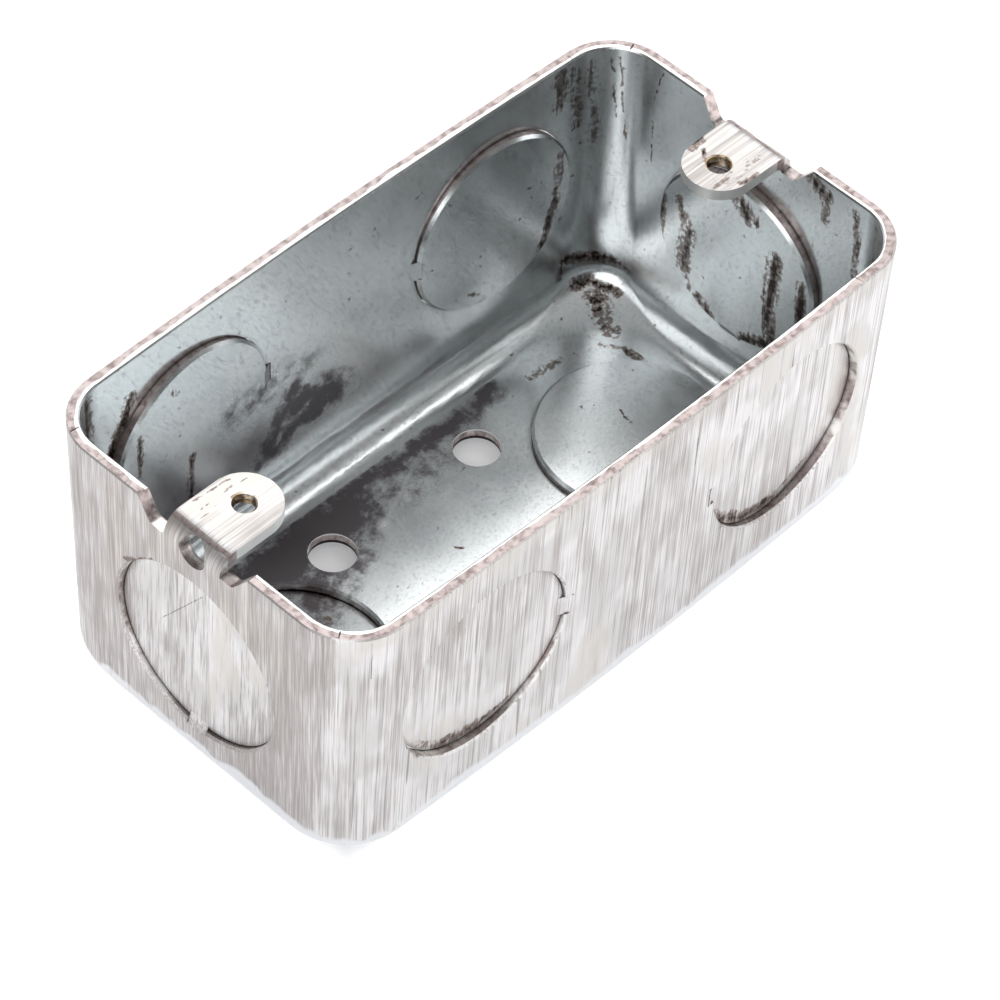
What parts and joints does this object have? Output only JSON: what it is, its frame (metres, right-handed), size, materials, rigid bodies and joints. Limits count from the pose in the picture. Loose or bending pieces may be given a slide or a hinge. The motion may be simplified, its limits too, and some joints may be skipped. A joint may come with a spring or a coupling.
{
  "type": "switch box",
  "caption": "Drawn steel box for a wall switch or outlet, with round knockouts in its walls and floor and tapped ears for a cover plate.",
  "frame": {"origin": "centre of the floor's underside, the face that is screwed to the wall", "axes": "+X along the box, +Y across it, +Z out of its open mouth"},
  "size_m": [0.1008, 0.0556, 0.0466],
  "materials": {
    "galvanised_steel": "zinc-coated sheet, drawn, with long scratches and some brown dirt"
  },
  "bodies": {
    "root": {"box": "galvanised_steel"}
  },
  "joints": []
}
